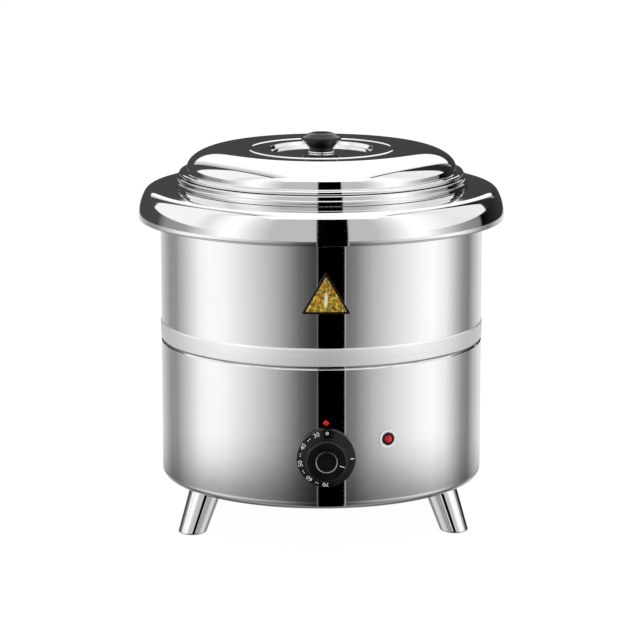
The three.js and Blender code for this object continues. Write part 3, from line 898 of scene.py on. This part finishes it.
def on_drum(outline, share, r, height):
    """The outline, scaled by a share about its middle and laid on a cylinder of radius r."""
    return [(x * share, -math.sqrt(r * r - (x * share) ** 2), z * share + height) for x, z in outline]


def even(points, total):
    """The closed outline with its points spread to a given number."""
    lengths = [0]
    loop = points + points[:1]
    for a, b in zip(loop, loop[1:]):
        lengths.append(lengths[-1] + math.dist(a, b))
    spread = []
    piece = 0
    for i in range(total):
        target = lengths[-1] * i / total
        while lengths[piece + 1] < target:
            piece += 1
        share = (target - lengths[piece]) / (lengths[piece + 1] - lengths[piece])
        spread.append(tuple(Vector(loop[piece]).lerp(Vector(loop[piece + 1]), share)))
    return spread


BADGE = {"z": 249.4, "reach": 27.02, "border": 1.9, "corner": 0.9}


def badge():
    reach, corner, middle = BADGE["reach"], BADGE["corner"], BADGE["z"]
    top_r = 160.7
    count = 120
    opening = reach - 2 * BADGE["border"]
    outer = even(rounded_shape(3, reach, corner), count)
    inner = even(rounded_shape(3, opening, corner * 0.7), count)

    def between(share, r):
        """The loop at a share of the way from the border's inner edge to its outer one."""
        ring = [tuple(Vector(a).lerp(Vector(b), share)) for a, b in zip(inner, outer)]
        return on_drum(ring, 1, r, middle)

    edge_r = top_r - 0.2
    profile = [(0, PLATE_R), (0, edge_r), (0.1, top_r), (0.5, top_r), (0.9, top_r), (1, edge_r), (1, PLATE_R)]
    rings = [between(share, r) for share, r in profile]
    show("badge_border", loft(rings), "base", "badge_black", ["badge_frame"])

    face = rounded_shape(3, opening - 0.4, corner * 0.6)
    face_r = top_r - 0.15
    rings = [[(0, -PLATE_R, middle)]]
    rings += [on_drum(face, share, PLATE_R, middle) for share in (0.5, 1)]
    rings += [on_drum(face, 1, face_r - 0.15, middle)]
    rings += [on_drum(face, share, face_r, middle) for share in (0.98, 0.8, 0.6, 0.4, 0.2)]
    rings += [[(0, -face_r, middle)]]
    points, faces = loft(rings, closed=False)
    origin = Vector((0, -top_r, middle))
    moved = [tuple(Vector(p) - origin) for p in points]
    show("badge_foil", (moved, faces), "base", "badge_gold", ["badge_face"], Matrix.Translation(origin))


def index_mark():
    low, high = box_mm("index_mark")
    middle = (low.z + high.z) / 2
    reach, squat = 3.3, 0.9
    outline = [(x, z * squat) for x, z in rounded_shape(4, reach, 1.0, 0.5)]
    top_r = 160.35
    rings = [[(0, -PLATE_R, middle)]]
    rings += [on_drum(outline, 1, r, middle) for r in (PLATE_R, top_r - 0.15)]
    rings += [on_drum(outline, 0.93, top_r, middle), [(0, -top_r - 0.05, middle)]]
    show("red_index", loft(rings, closed=False), "base", "red_enamel", ["index_mark"])


# ---- mains inlet ----
def gland():
    low, high = box_mm("cable_gland")
    height = (low.z + high.z) / 2
    place = facing(height, 180)

    def gripped(radius, z, angle):
        """Sixteen grip flutes round the gland's cap."""
        if radius < 8.6 or not 168.4 < z < 177:
            return radius
        return radius - 0.35 * (1 - math.cos(16 * angle))

    bore, thread, flange = 4.6, 8.2, 11.5
    inner_end, panel, flange_front, outer_end = 146, 160, 167, 179
    body = rounded([
        (bore, inner_end), (thread, inner_end), (thread, panel), (flange, panel, 0.2),
        (flange, flange_front, 0.8), (10.2, 167.6, 0.3), (9.8, 168.6, 0.3), (9.4, 176.5, 0.6),
        (8, outer_end, 0.8), (bore, outer_end, 0.5),
    ], hold=0.3)
    show("gland_body", spin(body, 128, gripped), "base", "black_moulding", ["cable_gland"], place)
    seal_r, seal_back, seal_front = 4.3, 150, 177
    dimple = seal_front - 0.8
    seal = rounded([
        (0, seal_back), (seal_r, seal_back), (seal_r, seal_front, 0.5), (3, seal_front, 0.3),
        (2.6, dimple, 0.3), (0, dimple),
    ], hold=0.3)
    show("gland_rubber", spin(seal, 64), "base", "black_rubber", ["gland_seal"], place)


# ---- hinge ----
def along_x(skin):
    return turned_skin(skin, Matrix.Rotation(math.pi / 2, 4, "Y"))


def hinge():
    axis_y, axis_z = 150.5, 351
    pin_r, half, chamfer = 1.9, 18.5, 0.6
    centre = Matrix.Translation((0, axis_y, axis_z))
    pin = rounded([
        (0, -half), (1.2, -half), (pin_r, chamfer - half), (pin_r, half - chamfer), (1.2, half), (0, half),
    ], hold=0.3)
    show("hinge_rod", turned_skin(along_x(spin(pin, 48)), centre), "lid_ring", "satin_steel", ["hinge_pin"])
    for node_name in ("hinge_bracket", "hinge_leaf"):
        soften_edges(frame["nodes"][node_name], 0.25)


# ---- nodes that keep their CAD mesh ----
def dress_nodes():
    """Gives each CAD node that still shows its material and soft shading."""
    slots = {row["node"]: row["material_slot"] for row in frame["record"]["subparts"]}
    for name, piece in frame["nodes"].items():
        if piece.hide_render:
            continue
        piece.data.materials.clear()
        piece.data.materials.append(FINISHES[slots[name]])
        piece.data.shade_smooth()
        piece.data.set_sharp_from_angle(angle=math.radians(SMOOTH_ANGLE))


# ---- studio ----
STEEL_REFLECTS = 0.8  # the levels below are what the steel shows of the set

# Cards round the set as (azimuth from the front, level), seen below the horizon.
LOW_CARDS = [
    (-180, 0.66), (-160, 0.52), (-140, 0.27), (-129, 0.275), (-112, 0.58), (-98, 0.88), (-88, 0.95),
    (-74, 0.91), (-54, 0.67), (-35, 0.43), (-17, 0.14), (-9, 0.07), (-4, 0.05), (15.5, 0.15), (22, 0.20),
    (35, 0.45), (54, 0.71), (74, 0.92), (85, 0.97), (98, 0.83), (112, 0.44), (120, 0.27), (129, 0.20),
    (140, 0.44), (156, 0.66), (180, 0.66),
]
# Their fall towards the table, by elevation.
LOW_FALL = [
    (-60, 0.28), (-38, 0.3), (-33, 0.66), (-20.5, 0.66), (-16.6, 0.6), (-15.3, 0.26), (-15, 0.26),
    (-14.75, 0.33), (-14.55, 0.42), (-14.3, 0.61), (-14.1, 0.77), (-13.9, 0.88), (-13.5, 1.0),
]
# The same set at the horizon.
MIDDLE_CARDS = [
    (-180, 0.05), (-125, 0.058), (-115, 0.25), (-96, 0.32), (-80, 0.64), (-66, 1.0), (-57, 1.0), (-41, 0.64),
    (-33, 0.49), (33, 0.49), (41, 0.64), (57, 1.0), (66, 1.0), (80, 0.64), (96, 0.32), (115, 0.2),
    (118, 0.0), (150, 0.03), (180, 0.05),
]
# And above it, with a thin bright slit at the back right.
HIGH_CARDS = [
    (-180, 0.05), (-136, 0.06), (-134, 0.9), (-90, 0.9), (-80, 0.75), (-66, 1.0), (-57, 1.0), (-41, 0.64),
    (-33, 0.49), (33, 0.49), (41, 0.64), (57, 1.0), (66, 1.0), (90, 0.8), (127, 0.85), (128, 0.02),
    (148.5, 0.02), (149.3, 0.5), (150.7, 0.5), (151.5, 0.02), (180, 0.05),
]
# The long softbox overhead, by the angle out to the sides.
SOFTBOX = [
    (-28.5, 0.03), (-26.3, 0.03), (-26, 0.37), (-14, 1.05),
    (20, 1.05), (26, 0.79), (26.3, 0.03), (28.5, 0.03),
]
SOFTBOX_PITCH = (50, 165)  # its near and far ends, from the front horizon over the top
SOFTBOX_NEAR = {"pitch": (50, 78), "level": 1.05}  # its near end is plain
# Heights at which one set of cards gives way to the next, in degrees above the horizon.
MIDDLE_FROM, HIGH_FROM, ZENITH = -7.2, 8, 91
# A black flag in front, by azimuth; its edges lean so that they mirror plumb in every wall of the kettle.
FLAG = (-4.0, 14.9)
FLAG_TRIM = [(-4.7, 0.16), (4, 0.16), (6, 0.4), (15.6, 0.4)]  # the paler tape along its edges
FLAG_LEAN = (11.4, -1.6)  # elevation and azimuth that its edges lean from
FLAG_REACH = 60  # how far round from the front it can show


def ramp(tree, value, stops):
    """A level that follows the stops, flat beyond the first and the last."""
    first, last = stops[0][0], stops[-1][0]
    made = tree.nodes.new("ShaderNodeValToRGB")
    tree.links.new(node(tree, "MapRange", value, first, last, 0.0, 1.0), made.inputs[0])
    points = made.color_ramp.elements
    points.remove(points[0])
    points[0].position = 0
    for at, _ in stops[1:]:
        points.new((at - first) / (last - first))
    for point, (_, level) in zip(points, stops):
        point.color = (level, level, level, 1)
    return made.outputs[0]


def studio():
    world = bpy.data.worlds.new("studio")
    bpy.context.scene.world = world
    world.use_nodes = True
    tree = world.node_tree
    tree.nodes.clear()

    def math_node(operation, *values):
        return node(tree, "Math", *values, operation=operation)

    def degrees(value):
        return math_node("DEGREES", value)

    def within(value, low, high, soft=0.5):
        """1 where the value lies between low and high."""
        rise = node(tree, "MapRange", value, low - soft, low + soft, 0.0, 1.0)
        fall = node(tree, "MapRange", value, high - soft, high + soft, 1.0, 0.0)
        return math_node("MULTIPLY", rise, fall)

    def mixed(share, a, b):
        mix = tree.nodes.new("ShaderNodeMix")
        for socket, value in zip(mix.inputs[:1] + mix.inputs[2:4], (share, a, b)):
            if isinstance(value, bpy.types.NodeSocket):
                tree.links.new(value, socket)
            else:
                socket.default_value = value
        return mix.outputs[0]

    split = tree.nodes.new("ShaderNodeSeparateXYZ")
    tree.links.new(tree.nodes.new("ShaderNodeTexCoord").outputs["Generated"], split.inputs[0])
    x, y, z = split.outputs
    front = math_node("MULTIPLY", y, -1.0)
    azimuth = degrees(math_node("ARCTAN2", x, front))
    elevation = degrees(math_node("ARCSINE", z))
    pitch = degrees(math_node("ARCTAN2", z, front))
    aside = degrees(math_node("ARCSINE", x))

    lean, toward = (math.radians(angle) for angle in FLAG_LEAN)
    half_x = math_node("ADD", x, math.cos(lean) * math.sin(toward))
    half_y = math_node("ADD", front, math.cos(lean) * math.cos(toward))
    twice = math_node("MULTIPLY", degrees(math_node("ARCTAN2", half_x, half_y)), 2.0)
    plumb = math_node("SUBTRACT", twice, FLAG_LEAN[1])

    low = math_node("MULTIPLY", ramp(tree, azimuth, LOW_CARDS), ramp(tree, elevation, LOW_FALL))
    level = mixed(within(elevation, MIDDLE_FROM, ZENITH), low, ramp(tree, azimuth, MIDDLE_CARDS))
    level = mixed(within(elevation, HIGH_FROM, ZENITH), level, ramp(tree, azimuth, HIGH_CARDS))
    ahead = within(azimuth, -FLAG_REACH, FLAG_REACH)
    taped = within(plumb, FLAG_TRIM[0][0], FLAG_TRIM[-1][0], 0.2)
    level = mixed(math_node("MULTIPLY", taped, ahead), level, ramp(tree, plumb, FLAG_TRIM))
    level = mixed(math_node("MULTIPLY", within(plumb, *FLAG, 0.2), ahead), level, 0.0)
    wide = within(aside, SOFTBOX[0][0], SOFTBOX[-1][0], 0.3)
    box = math_node("MULTIPLY", within(pitch, *SOFTBOX_PITCH), wide)
    near = within(pitch, *SOFTBOX_NEAR["pitch"])
    level = mixed(box, level, mixed(near, ramp(tree, aside, SOFTBOX), SOFTBOX_NEAR["level"]))
    level = math_node("DIVIDE", level, STEEL_REFLECTS)
    level = mixed(tree.nodes.new("ShaderNodeLightPath").outputs["Is Camera Ray"], level, 1.0)
    background = tree.nodes.new("ShaderNodeBackground")
    tree.links.new(level, background.inputs["Color"])
    output = tree.nodes.new("ShaderNodeOutputWorld")
    tree.links.new(background.outputs[0], output.inputs["Surface"])


def floor():
    """A pale table top that only the camera and soft light see, so that the steel mirrors the set."""
    mesh = bpy.data.meshes.new("table_top")
    half, sunk = 12.0, 0.0002  # metres
    corners = [(-half, -half), (half, -half), (half, half), (-half, half)]
    mesh.from_pydata([(x, y, -sunk) for x, y in corners], [], [(0, 1, 2, 3)])
    top = bpy.data.objects.new("table_top", mesh)
    bpy.context.scene.collection.objects.link(top)
    pale = Surface(
        "table_white", Specular_IOR_Level=0.0, Emission_Color=grey(1.0), Emission_Strength=0.97,
    )
    pale.feed(
        Base_Color=pale.between(pale.noise(3.0), grey(0.06), grey(0.07)),
        Roughness=pale.between(pale.noise(5.0), 0.85, 0.95),
    )
    mesh.materials.append(pale.material)
    top.visible_glossy = False


def camera():
    """A long lens that looks slightly down; its numbers are metres and degrees."""
    distance, elevation, azimuth = 3.0, 11.4, -1.6
    target = Vector((-0.0013, 0, 0.1981))
    data = bpy.data.cameras.new("camera")
    data.sensor_width = 36
    data.lens = 168.75
    data.clip_end = 100
    holder = bpy.data.objects.new("camera", data)
    bpy.context.scene.collection.objects.link(holder)
    a, e = math.radians(azimuth), math.radians(elevation)
    back = Vector((math.sin(a) * math.cos(e), -math.cos(a) * math.cos(e), math.sin(e)))
    holder.location = target + back * distance
    holder.rotation_mode = "QUATERNION"
    holder.rotation_quaternion = (-back).to_track_quat("-Z", "Y")
    bpy.context.scene.camera = holder


# ---- assembly ----
camera()
studio()
floor()
drum()
vessel("well", "water_well", "base", r=148, corner=6)
vessel("pot_shell", "soup_pot", "pot", r=134, corner=16)
collar()
neck()
lid()
knob()
for number in range(LEGS):
    leg(number)
dial()
lamp()
badge()
index_mark()
gland()
hinge()
dress_nodes()
bpy.context.scene.view_settings.view_transform = "Standard"
